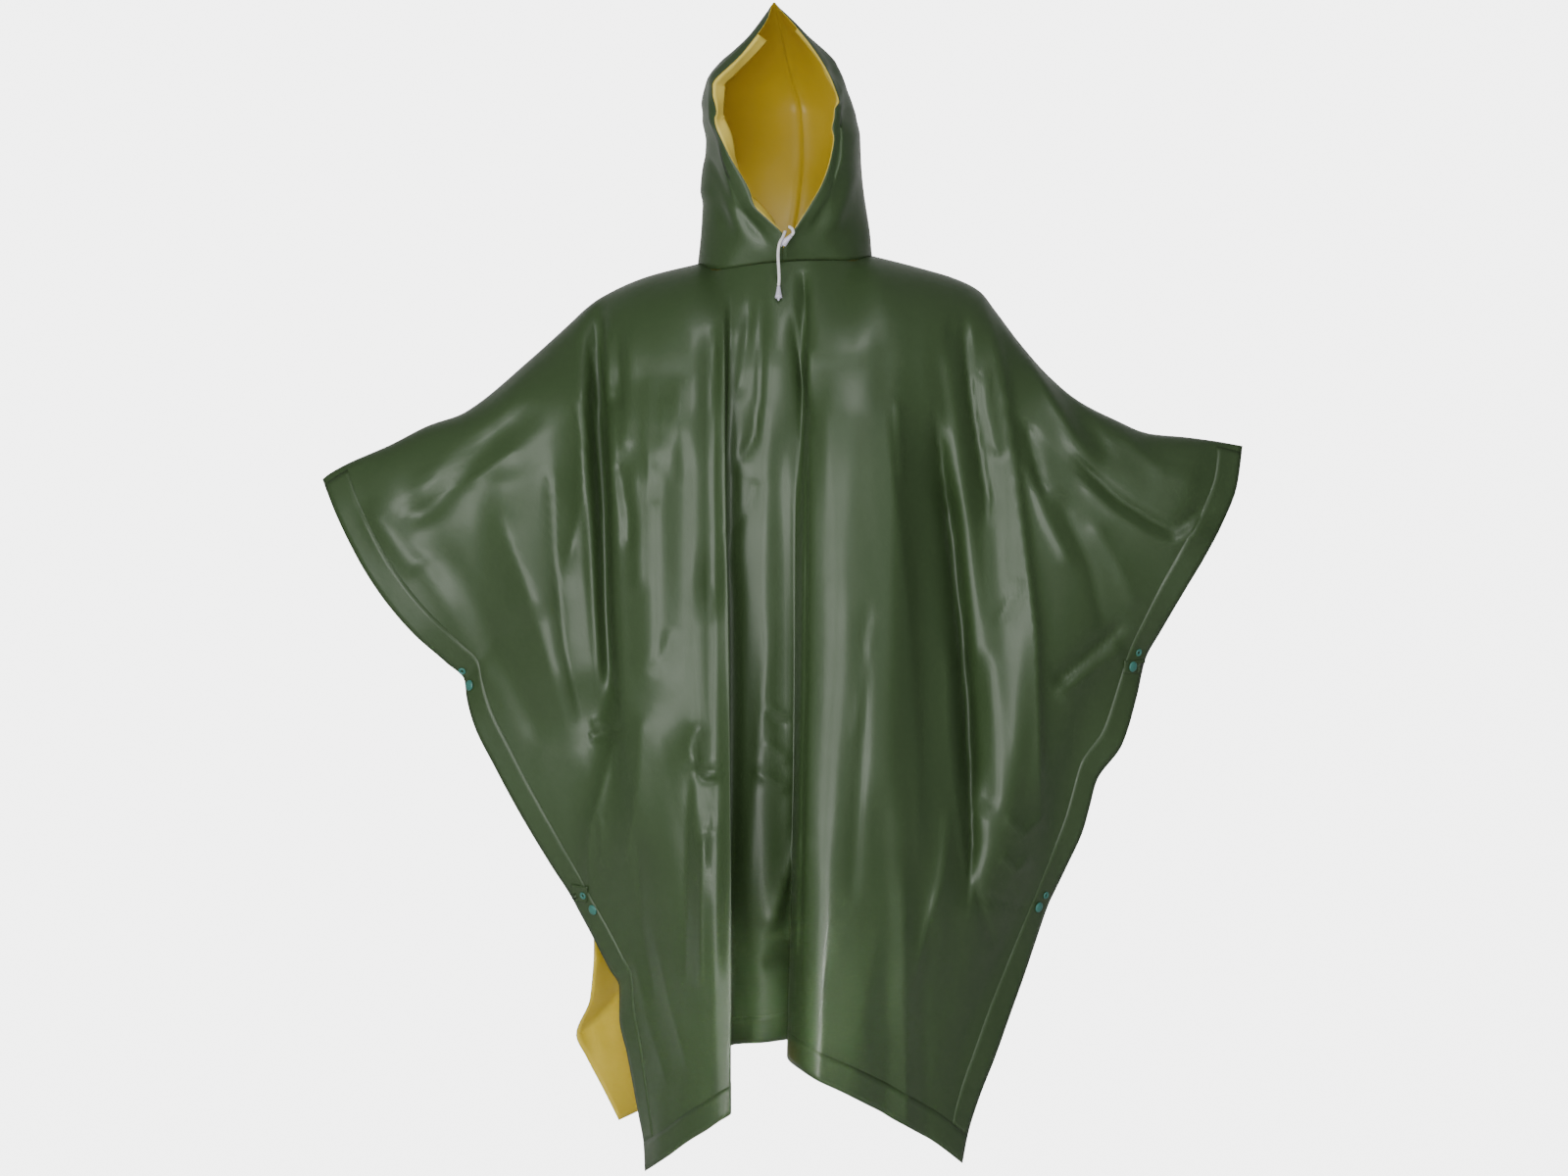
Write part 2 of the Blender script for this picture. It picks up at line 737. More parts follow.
def panel_rows(left, right, top, sections, side, strip, round_steps, lower_steps):
    """One half of the body as rows of points from shoulder line to hem."""
    downs = np.concatenate(
        [
            FIRST_SECTION
            * (1 - np.cos(np.radians(np.linspace(0, ROUND_TURN, round_steps, endpoint=False)))),
            np.linspace(ROUND_END, 1, lower_steps),
        ]
    )
    curves = [edge_curve(left, side)]
    curves += [station_curve(top[k], sections, k) for k in range(len(top))]
    curves.append(edge_curve(right, side))
    band = np.linspace(0, 1, BAND_STRIPS + 1)[1:]
    posts = []
    for c in curves:
        start = 1 - END_SHARE * BAND_WIDTH / np.linalg.norm(c(1)[0] - c(1 - END_SHARE)[0])
        posts.append(c(np.concatenate([downs * start, start + (1 - start) * band])))
    posts = np.array(posts).transpose(1, 0, 2)
    spans = np.linalg.norm(np.diff(posts[::6], axis=1), axis=2).mean(axis=0)
    spans[0] -= BAND_WIDTH
    spans[-1] -= BAND_WIDTH
    splits = [max(2, int(round(s / strip))) for s in spans]
    rows = np.array([across_row(row, splits) for row in posts])
    lift = np.zeros(rows.shape[1])
    for low, high, height in RIDGES:
        on = (rows[0, :, 0] >= low - 0.01) & (rows[0, :, 0] <= high + 0.01)
        lift[on] = height(rows[0, on, 0]) - rows[0, on, 2]
    ease = np.ones(len(rows))
    ease[: len(downs)] = np.minimum(1, downs / FIRST_SECTION)
    rows[..., 2] += (1 - ease)[:, None] * lift[None, :]
    return rows, ease


def grid_normals(rows, outward):
    down = np.gradient(rows, axis=0)
    across = np.gradient(rows, axis=1)
    normals = np.cross(down, across) * outward
    return normals / np.maximum(1e-9, np.linalg.norm(normals, axis=-1, keepdims=True))


FADE_SHARE = 0.16


def fold_lift(u, v, line, height, left, right, sharp):
    """Lift in mm of one crease along a line of u, v points. left and right are its reach to
    either side of a line drawn downwards. It fades over a share of its length at both ends."""
    line = np.asarray(line, float)
    steps = np.diff(line, axis=0)
    spans = np.linalg.norm(steps, axis=1)
    at = np.concatenate([[0], np.cumsum(spans)])
    best = np.full(u.shape, 1e9)
    side = np.zeros(u.shape)
    along = np.zeros(u.shape)
    for k in range(len(steps)):
        du, dv = u - line[k, 0], v - line[k, 1]
        f = np.clip((du * steps[k, 0] + dv * steps[k, 1]) / spans[k] ** 2, 0, 1)
        far = np.hypot(du - f * steps[k, 0], dv - f * steps[k, 1])
        nearer = far < best
        turn = steps[k, 0] * dv - steps[k, 1] * du
        best = np.where(nearer, far, best)
        side = np.where(nearer, turn, side)
        along = np.where(nearer, at[k] + f * spans[k], along)
    x = best / np.where(side > 0, left, right)
    profile = np.exp(-2.2 * x) * (1 + 1.2 * x) if sharp else np.exp(-x * x)
    share = along / at[-1]
    first = np.clip(share / FADE_SHARE, 0, 1)
    last = np.clip((1 - share) / FADE_SHARE, 0, 1)
    return height * profile * first * first * (3 - 2 * first) * last * last * (3 - 2 * last)


def crumple(u, v, size, height, seed):
    """Low uneven swells over the whole film, from a few slanting waves."""
    waves = random.Random(seed)
    out = np.zeros(u.shape)
    for _ in range(7):
        turn = waves.uniform(-0.5, 0.5)
        length = size * waves.uniform(0.6, 1.6)
        phase = waves.uniform(0, 6.28)
        bend = 0.35 * length * np.sin(v / (2.7 * length) + waves.uniform(0, 6.28))
        out += np.sin((u * math.cos(turn) + v * math.sin(turn) * 0.15 + bend) * 6.28 / length + phase)
    return out * height / 7


# Creases placed by hand. Columns: lift in mm (troughs below 0), reach left and right of the
# line in units of the front view, 1 for sharp or 0 for soft, then the line from its upper end.
FRONT_FOLDS = [
    # left sleeve
    (6, 30, 30, 0, [(500, 470), (520, 560), (545, 640)]),
    (-9, 13, 13, 0, [(553, 420), (525, 430), (484, 461), (441, 516), (405, 540)]),
    (6, 14, 14, 0, [(545, 396), (500, 434), (455, 482), (420, 522)]),
    (6, 10, 13, 0, [(372, 515), (398, 548), (428, 588)]),
    (4, 10, 10, 1, [(535, 455), (505, 471), (476, 494)]),
    (8, 10, 12, 1, [(590, 380), (594, 446), (592, 513), (578, 590)]),
    (7, 18, 26, 1, [(500, 500), (535, 590), (562, 680), (585, 765)]),
    (-8, 10, 18, 1, [(562, 455), (566, 560), (576, 660), (596, 745)]),
    (-4, 12, 12, 0, [(440, 545), (480, 610), (520, 690), (560, 770)]),
    (3, 8, 8, 0, [(420, 560), (462, 628), (505, 710)]),
    # fold from the left shoulder down to the lower snap
    (22, 80, 12, 0, [(598, 350), (594, 420), (596, 500), (601, 590), (606, 680), (612, 740)]),
    (-34, 9, 6, 0, [(613, 290), (611, 345), (611, 400), (613, 446), (617, 520), (620, 620), (625, 700),
                    (631, 748)]),
    (9, 5, 12, 1, [(622, 400), (624, 446), (625, 620), (628, 668), (634, 745)]),
    (8, 8, 9, 1, [(632, 735), (609.7, 821), (602.4, 840.5), (601, 862), (600, 899), (608.5, 916)]),
    (-7, 5, 7, 1, [(640, 742), (620, 748), (600, 752)]),
    (5, 7, 7, 1, [(629, 733), (602, 741)]),
    (5, 7, 7, 1, [(611, 828), (614, 860), (611, 892)]),
    # pockets and small wrinkles below the left shoulder
    (8, 6, 8, 1, [(615, 335), (619, 375), (618, 412)]),
    (-8, 5, 7, 1, [(628, 336), (630, 380), (628, 420)]),
    (7, 8, 12, 1, [(642, 330), (641, 400), (636, 470)]),
    (-6, 5, 8, 1, [(626, 462), (634, 495), (641, 530), (640, 566)]),
    (4, 7, 9, 1, [(645, 470), (650, 540), (651, 610)]),
    (2.4, 5, 5, 1, [(664, 372), (660, 440), (666, 500)]),
    (2.2, 5, 5, 1, [(679, 404), (674, 470)]),
    (2.6, 5, 5, 1, [(693, 384), (686, 452), (690, 500)]),
    (-2.5, 5, 5, 1, [(672, 430), (668, 520)]),
    (9, 80, 34, 0, [(600, 445), (660, 432), (748, 428)]),
    (6, 18, 22, 0, [(668, 420), (668, 560), (664, 720)]),
    (-2.4, 5, 9, 1, [(684, 640), (676, 668), (660, 690)]),
    (-10, 20, 16, 0, [(696, 430), (697, 560), (697, 700), (696, 780)]),
    (6, 8, 8, 1, [(713, 740), (705, 763), (711, 788)]),
    (-7, 5, 7, 1, [(707, 779), (722, 791), (738, 784)]),
    (6, 9, 9, 1, [(723, 790), (726, 815), (722, 850)]),
    (-8, 14, 8, 1, [(704, 770), (700, 880), (700, 1010)]),
    (7, 7, 9, 1, [(720, 838), (715, 900), (714, 1020)]),
    (4, 6, 6, 1, [(645, 970), (662, 1045), (683, 1115)]),
    (4, 6, 8, 1, [(666, 950), (684, 1030), (704, 1098)]),
    (-6, 10, 12, 1, [(648, 840), (655, 940), (670, 1030)]),
    (6, 14, 16, 1, [(655, 720), (650, 800), (638, 890)]),
    # deep fold left of the middle
    (-13, 14, 5, 0, [(729, 320), (728, 400), (728, 480), (729, 560), (729, 640)]),
    (-10, 18, 7, 0, [(730, 540), (729, 640), (730, 741), (731, 838), (732, 1015)]),
    (6, 9, 14, 0, [(752, 320), (754, 400), (750, 490)]),
    (-7, 7, 9, 1, [(779, 300), (775, 402), (768, 446), (748, 482)]),
    (-3, 9, 12, 1, [(772, 486), (762, 520), (740, 552)]),
    (-4, 6, 8, 1, [(767, 302), (760, 360), (751, 410)]),
    # middle
    (9, 9, 13, 0, [(757, 400), (756, 560), (754, 760), (753, 960)]),
    # it goes on far past the hem, so that it doesn't fade out there
    (34, 60, 60, 0, [(779, 640), (779, 2500)]),
    (8, 10, 12, 0, [(809, 430), (810, 600), (808, 900)]),
    (-5, 9, 12, 1, [(752, 560), (753, 700), (750, 930)]),
    (3, 9, 12, 1, [(787, 610), (785, 660), (771, 790), (764, 886), (765, 1015)]),
    (4, 5, 5, 1, [(781, 718), (803, 736)]),
    (-3, 5, 5, 1, [(781, 727), (803, 744)]),
    (4, 6, 6, 1, [(779, 754), (806, 778)]),
    (5, 6, 8, 1, [(768, 786), (806, 808)]),
    (8, 8, 10, 1, [(817, 845), (800, 905), (783, 955)]),
    (-7, 8, 8, 1, [(808, 892), (804, 930), (797, 962)]),
    (4, 6, 6, 1, [(790, 957), (816, 958)]),
    (-5, 11, 11, 0, [(776, 986), (816, 980)]),
    # deep fold right of the middle
    (-9, 5, 6, 1, [(819, 278), (822, 308), (825, 360)]),
    (-8, 8, 4, 1, [(809, 322), (817, 379), (824, 415), (826, 450)]),
    (-9, 5, 3, 1, [(824, 400), (823, 520), (822, 700), (819, 838), (815, 1055)]),
    # right breast
    (8, 80, 34, 0, [(826, 426), (880, 428), (968, 440)]),
    (8, 44, 12, 1, [(902, 395), (911, 480), (920, 555), (928, 640), (936, 760), (940, 910)]),
    (4, 5, 5, 1, [(916, 405), (920, 495)]),
    (-34, 30, 11, 1, [(950, 400), (960, 460), (972, 560), (981, 640), (988, 740), (992, 860), (986, 940)]),
    (-20, 10, 9, 0, [(962, 470), (972, 540), (981, 640), (988, 740), (992, 830)]),
    (5, 8, 14, 0, [(961, 322), (965, 350), (977, 430), (987, 500), (997, 560), (1006, 640), (1013, 760)]),
    (-7, 7, 7, 1, [(966, 336), (974, 345), (984, 352)]),
    (-10, 8, 5, 1, [(982, 312), (987, 372), (992, 418), (1000, 464), (1008, 510), (1005, 545)]),
    (6, 8, 10, 1, [(1003, 372), (1008, 418), (1018, 470)]),
    (12, 24, 6, 1, [(1000, 293), (1010, 326), (1019, 358), (1025, 395), (1035, 464), (1042, 521),
                    (1049, 578), (1058, 645), (1061, 760), (1063, 852)]),
    (-2.5, 5, 5, 1, [(1014, 640), (1032, 612), (1046, 590)]),
    (7, 7, 9, 1, [(966, 640), (970, 741), (979, 838), (990, 915)]),
    (-10, 12, 12, 0, [(996, 660), (1000, 740), (1006, 840)]),
    (5, 7, 7, 1, [(1024, 834), (1046, 850), (1068, 830)]),
    (-11, 12, 8, 1, [(1152, 632), (1112, 668), (1072, 703)]),
    (7, 8, 14, 1, [(1150, 656), (1112, 684), (1074, 712)]),
    (5, 6, 6, 1, [(1020, 872), (1037, 888), (1052, 876)]),
    (-5, 6, 6, 1, [(992, 914), (1052, 927)]),
    (-5, 6, 6, 1, [(994, 895), (1002, 930), (1015, 968)]),
    (6, 6, 8, 1, [(969, 815), (961, 899), (945, 947), (931, 1010)]),
    (-5, 12, 9, 1, [(886, 600), (880, 760), (868, 940)]),
    (3, 5, 6, 1, [(890, 630), (880, 700), (872, 760)]),
    # right sleeve
    (9, 9, 12, 1, [(1018, 318), (1053, 369), (1070, 399), (1093, 445), (1126, 488)]),
    (-8, 10, 10, 0, [(1040, 333), (1075, 383), (1106, 432), (1140, 474)]),
    (6, 9, 9, 1, [(1140, 436), (1166, 464), (1188, 484), (1228, 493)]),
    (-10, 10, 9, 1, [(1092, 462), (1138, 507), (1174, 530), (1194, 540), (1207, 535), (1222, 522),
                     (1248, 513)]),
    (7, 9, 11, 1, [(1094, 482), (1136, 523), (1172, 547), (1197, 557), (1214, 548), (1244, 529)]),
    (-8, 7, 7, 1, [(1046, 428), (1056, 468), (1067, 510)]),
    (7, 10, 16, 1, [(1040, 460), (1066, 525), (1096, 585)]),
    (-6, 10, 18, 1, [(1078, 505), (1112, 580), (1128, 650)]),
    (5, 12, 16, 1, [(1112, 525), (1142, 580), (1162, 625)]),
    (3, 5, 5, 1, [(1050, 500), (1090, 505)]),
    # lobes
    (-7, 20, 12, 0, [(902, 780), (903, 1050), (902, 1260)]),
    (5, 8, 12, 1, [(921, 860), (924, 1060), (926, 1240)]),
    (-5, 12, 10, 0, [(946, 900), (942, 1040), (944, 1240)]),
]

BACK_FOLDS = [
    (-6, 14, 15, 0, [(553, 420), (515, 440), (470, 500), (430, 560)]),
    (5, 12, 14, 0, [(590, 390), (575, 460), (560, 560), (575, 680)]),
    (-9, 12, 14, 0, [(628, 320), (622, 400), (628, 520), (622, 660), (615, 800)]),
    (7, 11, 12, 0, [(655, 330), (652, 430), (660, 560), (655, 720), (660, 900)]),
    (-5, 9, 10, 1, [(676, 420), (682, 540), (680, 680), (690, 860)]),
    (6, 14, 12, 0, [(708, 380), (716, 520), (714, 700), (722, 960)]),
    (-11, 13, 16, 0, [(740, 330), (748, 480), (755, 640), (757, 820), (760, 1040)]),
    (4, 10, 10, 0, [(782, 300), (786, 420), (780, 560), (784, 720)]),
    (-4, 8, 9, 1, [(806, 290), (800, 400), (806, 520), (802, 700)]),
    (5, 13, 12, 0, [(826, 360), (830, 520), (824, 700), (826, 900)]),
    (-10, 15, 13, 0, [(862, 340), (858, 480), (852, 640), (848, 820), (846, 1040)]),
    (6, 13, 12, 0, [(894, 360), (902, 520), (898, 700), (886, 940)]),
    (-6, 9, 9, 1, [(926, 320), (930, 430), (938, 560), (930, 720), (922, 900)]),
    (7, 12, 11, 0, [(956, 340), (960, 470), (958, 620), (954, 800), (940, 980)]),
    (-8, 13, 12, 0, [(988, 330), (992, 450), (996, 600), (990, 760), (980, 900)]),
    (5, 11, 14, 0, [(1030, 380), (1034, 500), (1024, 640), (1016, 800)]),
    (-7, 11, 12, 0, [(1052, 380), (1074, 470), (1080, 580), (1066, 700)]),
    (6, 12, 12, 0, [(1092, 420), (1126, 480), (1150, 560)]),
    (-5, 10, 10, 0, [(1140, 445), (1180, 500), (1210, 540)]),
    (-4, 7, 7, 1, [(745, 420), (790, 445), (850, 430)]),
    (3.5, 8, 8, 0, [(760, 560), (805, 578), (845, 556)]),
    # the corner that shows at the lower left
    (-3, 6, 6, 0, [(604, 1046), (618, 1084)]),
    (-14, 12, 17, 0, [(608, 958), (604, 1010), (590, 1052), (580, 1085)]),
    (12, 7, 16, 1, [(640, 1004), (612, 1034), (586, 1060)]),
]


def lift_of(u, v, folds):
    total = np.zeros(u.shape)
    for height, left, right, sharp, line in folds:
        spots = np.array(line)
        low = spots.min(axis=0) - 4 * max(left, right)
        high = spots.max(axis=0) + 4 * max(left, right)
        near = (u > low[0]) & (u < high[0]) & (v > low[1]) & (v < high[1])
        if near.any():
            total[near] += fold_lift(u[near], v[near], line, height, left, right, sharp)
    return total


def sheet_mesh(name, rows, outward, materials):
    """A mesh of a grid of points in mm, its faces turned outward."""
    tall, wide = rows.shape[:2]
    index = np.arange(tall * wide).reshape(tall, wide)
    quads = np.stack([index[:-1, :-1], index[1:, :-1], index[1:, 1:], index[:-1, 1:]], axis=-1)
    if outward < 0:
        quads = quads[..., ::-1]
    return make_mesh(name, rows.reshape(-1, 3), quads.reshape(-1, 4).tolist(), materials)


def thicken(made, thickness, inside):
    """Give a film its thickness inward; inside is the step in slots to its inner face's one."""
    solidify = made.modifiers.new("thickness", "SOLIDIFY")
    solidify.thickness = thickness * MM
    solidify.offset = -1.0
    solidify.use_even_offset = False
    solidify.material_offset = inside
    solidify.material_offset_rim = 0


FILM_WALL = 0.6
# Uneven swells over the body: size in units of the front view, height in mm, seed.
BROAD_SWELLS = (80, 2.4, 5)
SMALL_SWELLS = (30, 0.4, 9)
# The creases grow from the shoulder line over this share of the first section, and near the
# side edges they need the film to be this deep in mm, because front and back nearly touch.
SHOULDER_EASE = 0.15
NO_ROOM = 2
FULL_ROOM = 20
EDGE_STRIPS = 3 * BAND_STRIPS
panels = {}
# Columns: left and right edge, tops, sections, creases, side, strip width in mm, then the
# steps in the round of the shoulder and below it.
PANELS = [
    ("front", LEFT_EDGE + LEFT_EDGE_FRONT, RIGHT_EDGE + RIGHT_EDGE_FRONT, FRONT_TOP, FRONT_SECTIONS,
     FRONT_FOLDS, -1, 4.8, 12, 168),
    ("back", LEFT_EDGE + LEFT_EDGE_BACK, RIGHT_EDGE + RIGHT_EDGE_BACK, BACK_TOP, BACK_SECTIONS,
     BACK_FOLDS, 1, 7.5, 12, 120),
]
for name, left, right, top, sections, folds, side, strip, round_steps, lower_steps in PANELS:
    rows, ease = panel_rows(left, right, top, sections, side, strip, round_steps, lower_steps)
    outward = 1 if side < 0 else -1
    u, v = front_view(rows)
    lift = lift_of(u, v, folds) + crumple(u, v, *BROAD_SWELLS) + crumple(u, v, *SMALL_SWELLS)
    lift *= np.minimum(1, ease / SHOULDER_EASE)[:, None]
    room = np.clip((np.abs(rows[..., 1]) - NO_ROOM) / (FULL_ROOM - NO_ROOM), 0, 1)
    edge = np.zeros(rows.shape[1])
    edge[:EDGE_STRIPS] = np.linspace(1, 0, EDGE_STRIPS)
    edge[-EDGE_STRIPS:] = np.linspace(0, 1, EDGE_STRIPS)
    lift *= 1 - edge[None, :] * (1 - room)
    # Every point moves along its line of sight, so the outline from the front stays as it is.
    rows = np.moveaxis(seen(u, v, rows[..., 1] + side * lift), 0, -1)
    normals = grid_normals(rows, outward)
    panels[name] = (rows, normals, outward)
    film = sheet_mesh(name + "_film", rows, outward, [GREEN, YELLOW])
    thicken(film, FILM_WALL, 1)
    fit(film, name + "_panel")


# Hem bands are strips of the same film, 35 mm wide, welded on the outside along the hem and
# the four side edges. They lie close on the film and follow its creases.
STRIP_LIFT = 0.1
STRIP_WALL = 0.2


def strip_piece(name, rows, normals, outward, solid):
    made = sheet_mesh(name, rows + normals * (STRIP_LIFT + STRIP_WALL), outward, [GREEN])
    thicken(made, STRIP_WALL, 0)
    fit(made, solid)


for name, (rows, normals, outward) in panels.items():
    n = BAND_STRIPS
    strip_piece(name + "_hem_strip", rows[-n - 1 :], normals[-n - 1 :], outward, name + "_hem_band")
    for end, part in (("left", slice(0, n + 1)), ("right", slice(-n - 1, None))):
        strip_piece(
            name + "_side_strip_" + end,
            rows[3:-n, part],
            normals[3:-n, part],
            outward,
            name + "_side_band_" + end,
        )


# The hood is two halves of the same film, welded along the crown and to the neck hole. A strip
# welded inside the face edge makes the tunnel for the drawstring.
SEAM_TURN = 174
CHIN_LEVEL = 0.1
HOOD_ROWS = 74
HOOD_SPLITS = [7, 14, 16, 16]
HOOD_SWELLS = (30, 0.7)
HOOD_SEED = 21
# How far in mm behind the face edge the film follows it, and the creases fade to either side.
FOLLOW = 14
EDGE_FADE = 12
GROOVE_DEPTH = 1.6
GROOVE_REACH = 3.5
HOOD_FOLDS = [
    (5, 10, 10, 0, [(712, 112), (715, 150), (716, 210)]),
    (-5, 7, 8, 0, [(722, 120), (732, 165), (755, 215), (792, 264)]),
    (2, 8, 8, 0, [(722, 150), (738, 205), (768, 250)]),
    (-3, 4, 5, 1, [(716, 150), (742, 205), (786, 252)]),
    (-4, 7, 7, 0, [(714, 104), (724, 165), (744, 245)]),
    (-5, 7, 8, 0, [(868, 96), (859, 140), (852, 200), (822, 250)]),
    (4, 8, 8, 0, [(872, 120), (868, 180), (846, 240)]),
    (-3, 7, 7, 0, [(848, 62), (862, 92), (868, 120)]),
]
# Where the face edge is seen: u at each v, left and right.
FACE_LEFT = [
    (7, 787), (17, 784), (41, 768), (60, 752), (71, 740), (82, 729), (86, 727), (96, 727), (108, 730),
    (115, 731), (121, 729), (131, 731), (140, 735), (160, 745), (195, 765), (210, 770), (225, 785),
    (238, 799),
]
FACE_RIGHT = [
    (7, 793), (18, 804), (60, 837), (80, 848), (93, 853), (104, 856), (111, 852), (121, 851),
    (131, 849), (140, 851), (160, 848), (185, 840), (210, 826), (238, 808),
]
TUNNEL_STRIPS = 4
TUNNEL_GAP = 0.6
TUNNEL_WALL = 0.4
# How far the hem tunnel's inner edge stands off the hood, so that it is seen from the front.
TUNNEL_STAND = {"left": 21.0, "right": 7.0}


def round_curve(at, posts, side):
    """An even curve around the head that meets the other half square to the crown seam."""
    n = len(posts)
    tangent = np.array(
        [(posts[min(n - 1, k + 1)] - posts[max(0, k - 1)]) / (at[min(n - 1, k + 1)] - at[max(0, k - 1)])
         for k in range(n)]
    )
    tangent[-1] = (-side * np.linalg.norm(tangent[-1]), 0, tangent[-1][2] * 0.3)

    def curve(a):
        k = np.clip(np.searchsorted(at, a) - 1, 0, n - 2)
        h = (at[k + 1] - at[k])[:, None]
        f = (a[:, None] - at[k][:, None]) / h
        return between(posts[k], posts[k + 1], tangent[k], tangent[k + 1], h, f)

    return curve


def hood_rows(levels, side, tall, splits):
    turns = [-1.3, side * 45, side * 90, side * 135, SEAM_TURN]
    curves = []
    for k, turn in enumerate(turns):
        curves.append(smooth(HOOD_LEVELS, [neck(turn)] + [seen(*level[k]) for level in levels]))
    down = np.linspace(0, 1, tall)
    posts = np.array([c(down) for c in curves]).transpose(1, 0, 2)
    rows = []
    for line in posts:
        at = lengths_along(line)
        hem = min(TUNNEL_WIDTH, at[1] * 0.8)
        spots = [np.linspace(0, hem, TUNNEL_STRIPS + 1)]
        for k, count in enumerate(splits):
            low = hem if k == 0 else at[k]
            spots.append(low + (at[k + 1] - low) * np.arange(1, count + 1) / count)
        rows.append(round_curve(at, line, side)(np.concatenate(spots)))
    return np.array(rows), down


for end, levels, side, face in (
    ("left", HOOD_LEFT, -1, FACE_LEFT),
    ("right", HOOD_RIGHT, 1, FACE_RIGHT),
):
    rows, down = hood_rows(levels, side, HOOD_ROWS, HOOD_SPLITS)
    outward = 1 if side < 0 else -1
    # The face edge takes its seen line, and the film behind it follows less and less.
    face_u = smooth([v for v, _ in face], [u for _, u in face])
    u, v = front_view(rows)
    away = np.cumsum(np.linalg.norm(np.diff(rows, axis=1, prepend=rows[:, :1]), axis=2), axis=1)
    wanted = face_u(np.clip(v[:, 0], face[0][0], face[-1][0]))
    follow = np.exp(-((away / FOLLOW) ** 2)) * np.clip((down - CHIN_LEVEL * 0.6) / 0.06, 0, 1)[:, None]
    rows[..., 0] += (wanted - u[:, 0])[:, None] * UNIT * follow
    normals = grid_normals(rows, outward)
    u, v = front_view(rows)
    lift = lift_of(u, v, HOOD_FOLDS) + crumple(u, v, *HOOD_SWELLS, HOOD_SEED + side)
    front_half = np.clip((20 - rows[..., 1]) / 40, 0.35, 1)
    lift *= front_half * np.clip(down / 0.12, 0, 1)[:, None] * np.clip((1 - down) / 0.15, 0, 1)[:, None]
    lift *= np.clip(away / EDGE_FADE, 0, 1)
    # A shallow groove runs along the crown seam and ends at the peak.
    to_seam = away[:, -1:] - away
    below_peak = np.clip((1 - down) / 0.1, 0, 1)[:, None]
    groove = GROOVE_DEPTH * np.exp(-((to_seam / GROOVE_REACH) ** 2)) * below_peak
    lift = lift * np.clip(to_seam / EDGE_FADE, 0, 1) - groove
    rows = rows + normals * lift[..., None]
    normals = grid_normals(rows, outward)
    film = sheet_mesh("hood_film_" + end, rows, outward, [GREEN, YELLOW])
    thicken(film, FILM_WALL, 1)
    film.modifiers[0].material_offset_rim = 1
    fit(film, "hood_" + end)
    # The tunnel hem: a strip inside the face edge that bulges a little over the cord.
    first = int(np.searchsorted(down, CHIN_LEVEL + 0.02))
    last = len(down) - 5
    strips = [0, 1, 2, 3, TUNNEL_STRIPS, TUNNEL_STRIPS]
    stand = np.array([0.0, 0.3, 0.6, 0.85, 1.0, 0.0]) * TUNNEL_STAND[end]
    off_film = (FILM_WALL + TUNNEL_GAP + stand)[None, :, None]
    inward = rows[first:last, strips] - normals[first:last, strips] * off_film
    tunnel = sheet_mesh("hood_tunnel_film_" + end, inward, -outward, [DOUBLE_YELLOW])
    thicken(tunnel, TUNNEL_WALL, 0)
    fit(tunnel, "hood_tunnel_" + end)


# The snaps are moulded of teal plastic: a cap and a ring on the front bands, and a thin back
# behind each cap on the back band. They stand this far in mm off the film, over the bands.
SNAP_SEAT = 0.8
SNAP_GAP = 0.2
# Profiles give radius and height in mm.
CAP_PROFILE = [
    (0, 0), (5.2, 0), (6.1, 0.25), (6.6, 0.8), (6.6, 1.25), (6.2, 1.75), (5.2, 2.2), (4.3, 2.42),
    (4.0, 2.3), (3.7, 2.42), (2.2, 2.58), (0, 2.62),
]
RING_PROFILE = [
    (1.7, 0), (4.0, 0), (4.6, 0.2), (4.8, 0.55), (4.75, 0.9), (4.3, 1.35), (3.6, 1.6), (2.9, 1.45),
    (2.3, 1.1), (1.9, 0.9), (1.7, 0.7), (1.7, 0),
]
BACK_PROFILE = [(0, 0), (5.0, 0), (5.5, 0.3), (5.3, 0.8), (4.6, 1.1), (2.2, 1.25), (0, 1.3)]


def band_tree(name):
    rows, normals, outward = panels[name]
    points = rows + normals * SNAP_SEAT
    tall, wide = points.shape[:2]
    flat = [Vector(p) for p in points.reshape(-1, 3)]
    faces = []
    for i in range(tall - 1):
        for j in list(range(0, EDGE_STRIPS)) + list(range(wide - EDGE_STRIPS, wide - 1)):
            a = i * wide + j
            faces.append((a, a + wide, a + wide + 1, a + 1))
    return BVHTree.FromPolygons(flat, faces)


TREES = {name: band_tree(name) for name in panels}


def seat(panel, u, v):
    """Where the front view's line of sight through u, v meets the band, and the way it faces."""
    eye = Vector((0, -EYE_DISTANCE, EYE_HEIGHT))
    aim = Vector(seen(u, v, 0)) - eye
    if panel == "back":
        eye = eye + aim * 1.4
        aim = -aim
    hit = TREES[panel].ray_cast(eye, aim.normalized())
    if hit[0] is None:
        spot, normal = TREES[panel].find_nearest(Vector(seen(u, v, -20 if panel == "front" else 20)))[:2]
    else:
        spot, normal = hit[:2]
    if normal.y > 0 and panel == "front" or normal.y < 0 and panel == "back":
        normal = -normal
    return spot, normal


def snap_piece(name, solid, spot, normal, profile, lift):
    fit(lathe(name, profile, spot + normal * lift, normal, SNAP, 40), solid)


